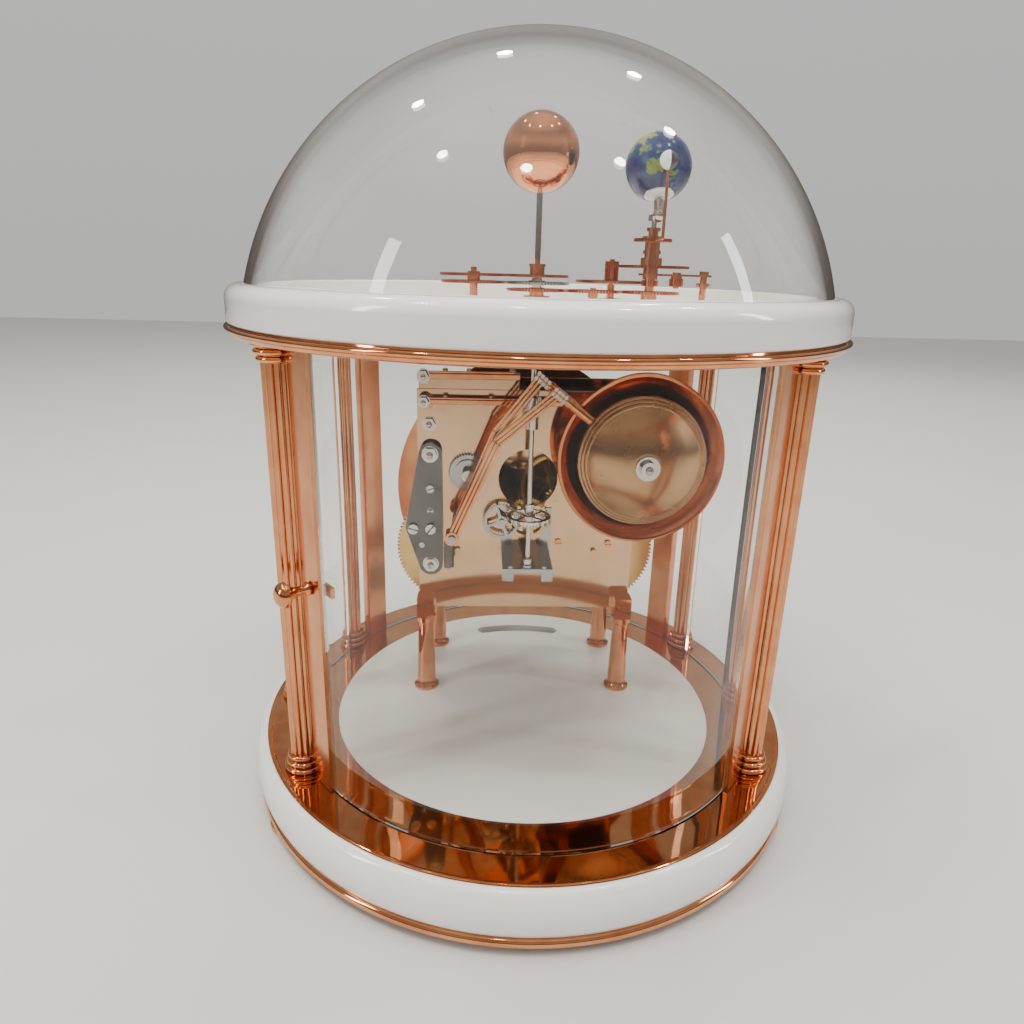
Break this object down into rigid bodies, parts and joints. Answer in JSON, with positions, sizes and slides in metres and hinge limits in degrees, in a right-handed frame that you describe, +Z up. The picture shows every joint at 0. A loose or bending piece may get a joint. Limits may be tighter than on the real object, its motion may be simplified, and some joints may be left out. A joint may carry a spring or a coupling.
{
  "type": "orrery",
  "caption": "Round table clock on a white base with fluted columns, curved glass doors and a glass dome over a geared model of sun, earth and moon.",
  "frame": {"origin": "on the surface that the feet rest on, below the middle of the case", "axes": "+Z up; -Y towards the rear door with the knob and the bells; +Y towards the dial"},
  "size_m": [0.2896, 0.2896, 0.3572],
  "materials": {
    "rose_gold": "polished rose-gold plate",
    "satin_rose": "satin rose-gold plate",
    "white_lacquer": "gloss white lacquer",
    "glass": "clear polished glass",
    "movement_plate": "mirror-polished rose-gold plate",
    "steel": "polished steel",
    "chrome": "bright nickel",
    "brass": "polished brass",
    "bell": "bronze, satin outside and copper red inside",
    "dial_white": "satin white dial with plain ring of numbers",
    "globe": "deep blue enamel with plain continents",
    "moon_two_tone": "half white, half black enamel"
  },
  "bodies": {
    "root": {"feet": "rose_gold", "base_foot_ring": "rose_gold", "base_body": "white_lacquer", "base_plate": "rose_gold", "floor_disc": "white_lacquer", "column_shafts": "satin_rose", "column_rings": "rose_gold", "cornice_ring": "rose_gold", "upper_ring": "white_lacquer", "sky_plate": "white_lacquer", "side_panes": "glass", "rear_plate": "movement_plate", "front_plate": "movement_plate", "plate_pillars": "rose_gold", "movement_legs": "rose_gold", "dial": "dial_white", "strike_cock": "steel", "hammer_arbor": "steel", "hammer_spring": "steel", "bell_post": "chrome", "bell_large": "bell", "bell_small": "bell", "drive_bracket": "steel", "orrery_gearbox": "satin_rose", "sun_post": "rose_gold"},
    "dome": {"glass_dome": "glass"},
    "rear_door": {"rear_door_glass": "glass", "rear_door_stiles": "satin_rose"},
    "rear_knob": {"rear_door_knob": "rose_gold"},
    "front_door": {"front_door_glass": "glass", "front_door_stiles": "satin_rose"},
    "front_knob": {"front_door_knob": "rose_gold"},
    "minute_arbor": {"centre_arbor": "brass", "minute_hand": "steel"},
    "hour_pipe": {"hour_wheel": "brass", "hour_hand": "steel"},
    "minute_idler": {"minute_wheel": "brass"},
    "second_arbor": {"second_wheel": "brass"},
    "going_drum": {"going_barrel": "brass"},
    "strike_drum": {"strike_barrel": "brass"},
    "transfer_arbor": {"transfer_wheel": "steel"},
    "drive_line": {"drive_shaft": "chrome", "contrate_wheel": "chrome"},
    "strike_arbor": {"strike_wheel": "steel"},
    "large_hammer": {"hammer_large": "rose_gold"},
    "small_hammer": {"hammer_small": "rose_gold"},
    "arm": {"year_arm": "rose_gold", "arm_link": "rose_gold"},
    "sun": {"sun_spindle": "rose_gold", "sun_ball": "rose_gold"},
    "compound": {"sun_compound": "rose_gold"},
    "day_sleeve": {"day_wheel": "rose_gold"},
    "idler": {"idler_wheel": "rose_gold"},
    "earth_sleeve": {"earth_drive": "rose_gold"},
    "reducer": {"moon_reducer": "rose_gold"},
    "moon": {"moon_carriage": "rose_gold", "moon_ball": "moon_two_tone"},
    "tilt_carrier": {"tilt_bracket": "steel"},
    "keeper": {"keeper_idler": "rose_gold"},
    "globe": {"earth_globe": "globe"}
  },
  "joints": [
    {"name": "dome_lift", "type": "slide", "parent": "root", "child": "dome", "axis": [0, 0, 1], "range_m": [0, 0.15]},
    {"name": "rear_door_hinge", "type": "hinge", "parent": "root", "child": "rear_door", "pos_m": [0.09788, -0.07216, 0.13], "axis": [0, 0, 1], "range_deg": [0, 100]},
    {"name": "rear_knob_turn", "type": "hinge", "parent": "rear_door", "child": "rear_knob", "pos_m": [-0.09378, -0.07487, 0.131], "axis": [-0.7815, -0.6239, 0], "range_deg": [0, 90]},
    {"name": "front_door_hinge", "type": "hinge", "parent": "root", "child": "front_door", "pos_m": [-0.09788, 0.07216, 0.13], "axis": [0, 0, 1], "range_deg": [0, 100]},
    {"name": "front_knob_turn", "type": "hinge", "parent": "front_door", "child": "front_knob", "pos_m": [0.09378, 0.07487, 0.131], "axis": [0.7815, 0.6239, 0], "range_deg": [0, 90]},
    {"name": "minute_turn", "type": "hinge", "parent": "root", "child": "minute_arbor", "pos_m": [0, 0.05, 0.1315], "axis": [0, -1, 0], "continuous": true},
    {"name": "hour_turn", "type": "hinge", "parent": "root", "child": "hour_pipe", "pos_m": [0, 0.065, 0.1315], "axis": [0, -1, 0], "continuous": true},
    {"name": "minute_wheel_turn", "type": "hinge", "parent": "root", "child": "minute_idler", "pos_m": [0.006, 0.062, 0.14189], "axis": [0, -1, 0], "continuous": true},
    {"name": "second_turn", "type": "hinge", "parent": "root", "child": "second_arbor", "pos_m": [0.01476, 0.04, 0.14181], "axis": [0, -1, 0], "continuous": true},
    {"name": "going_barrel_turn", "type": "hinge", "parent": "root", "child": "going_drum", "pos_m": [0.038, 0.035, 0.112], "axis": [0, -1, 0], "continuous": true},
    {"name": "strike_barrel_turn", "type": "hinge", "parent": "root", "child": "strike_drum", "pos_m": [-0.038, 0.035, 0.112], "axis": [0, -1, 0], "continuous": true},
    {"name": "transfer_turn", "type": "hinge", "parent": "root", "child": "transfer_arbor", "pos_m": [-0.01397, 0.012, 0.13052], "axis": [0, -1, 0], "continuous": true},
    {"name": "drive_turn", "type": "hinge", "parent": "root", "child": "drive_line", "pos_m": [0, 0, 0.15], "axis": [0, 0, 1], "continuous": true},
    {"name": "strike_turn", "type": "hinge", "parent": "root", "child": "strike_arbor", "pos_m": [-0.0327, 0.015, 0.1565], "axis": [0, -1, 0], "continuous": true},
    {"name": "large_hammer_swing", "type": "hinge", "parent": "root", "child": "large_hammer", "pos_m": [-0.04, -0.0055, 0.129], "axis": [0, -1, 0], "range_deg": [0, 5]},
    {"name": "small_hammer_swing", "type": "hinge", "parent": "root", "child": "small_hammer", "pos_m": [-0.04, -0.011, 0.129], "axis": [0, -1, 0], "range_deg": [0, 5]},
    {"name": "year_turn", "type": "hinge", "parent": "root", "child": "arm", "pos_m": [0, 0, 0.246], "axis": [0, 0, 1], "continuous": true},
    {"name": "sun_turn", "type": "hinge", "parent": "root", "child": "sun", "pos_m": [0, 0, 0.258], "axis": [0, 0, 1], "continuous": true},
    {"name": "compound_turn", "type": "hinge", "parent": "arm", "child": "compound", "pos_m": [-0.03, 0, 0.256], "axis": [0, 0, 1], "continuous": true},
    {"name": "day_turn", "type": "hinge", "parent": "arm", "child": "day_sleeve", "pos_m": [0, 0, 0.252], "axis": [0, 0, 1], "continuous": true},
    {"name": "idler_turn", "type": "hinge", "parent": "arm", "child": "idler", "pos_m": [0.027, 0, 0.252], "axis": [0, 0, 1], "continuous": true},
    {"name": "earth_drive_turn", "type": "hinge", "parent": "arm", "child": "earth_sleeve", "pos_m": [0.054, 0, 0.252], "axis": [0, 0, 1], "continuous": true},
    {"name": "reducer_turn", "type": "hinge", "parent": "arm", "child": "reducer", "pos_m": [0.03742, 0.01205, 0.256], "axis": [0, 0, 1], "continuous": true},
    {"name": "moon_turn", "type": "hinge", "parent": "arm", "child": "moon", "pos_m": [0.054, 0, 0.264], "axis": [0, 0, 1], "continuous": true},
    {"name": "keeper_turn", "type": "hinge", "parent": "arm", "child": "keeper", "pos_m": [0.027, 0, 0.242], "axis": [0, 0, 1], "continuous": true},
    {"name": "tilt_turn", "type": "hinge", "parent": "arm", "child": "tilt_carrier", "pos_m": [0.054, 0, 0.242], "axis": [0, 0, 1], "continuous": true},
    {"name": "globe_spin", "type": "hinge", "parent": "tilt_carrier", "child": "globe", "pos_m": [0.054, 0, 0.3076], "axis": [0, 0.3987, 0.9171], "continuous": true}
  ],
  "couplings": [
    {"joint": "hour_turn", "follows": "minute_turn", "ratio": 0.083333},
    {"joint": "minute_wheel_turn", "follows": "minute_turn", "ratio": -0.33333},
    {"joint": "transfer_turn", "follows": "minute_turn", "ratio": -0.4},
    {"joint": "second_turn", "follows": "minute_turn", "ratio": -0.2},
    {"joint": "going_barrel_turn", "follows": "minute_turn", "ratio": 0.025},
    {"joint": "drive_turn", "follows": "minute_turn", "ratio": 0.36364},
    {"joint": "sun_turn", "follows": "year_turn", "ratio": -0.068966},
    {"joint": "compound_turn", "follows": "year_turn", "ratio": 1},
    {"joint": "keeper_turn", "follows": "year_turn", "ratio": 1.0769},
    {"joint": "tilt_turn", "follows": "year_turn", "ratio": -1},
    {"joint": "moon_turn", "follows": "day_turn", "ratio": 0.035294},
    {"joint": "idler_turn", "follows": "day_turn", "ratio": -1.0769},
    {"joint": "earth_drive_turn", "follows": "day_turn", "ratio": 1},
    {"joint": "reducer_turn", "follows": "day_turn", "ratio": -0.20588},
    {"joint": "globe_spin", "follows": "day_turn", "ratio": 1}
  ]
}
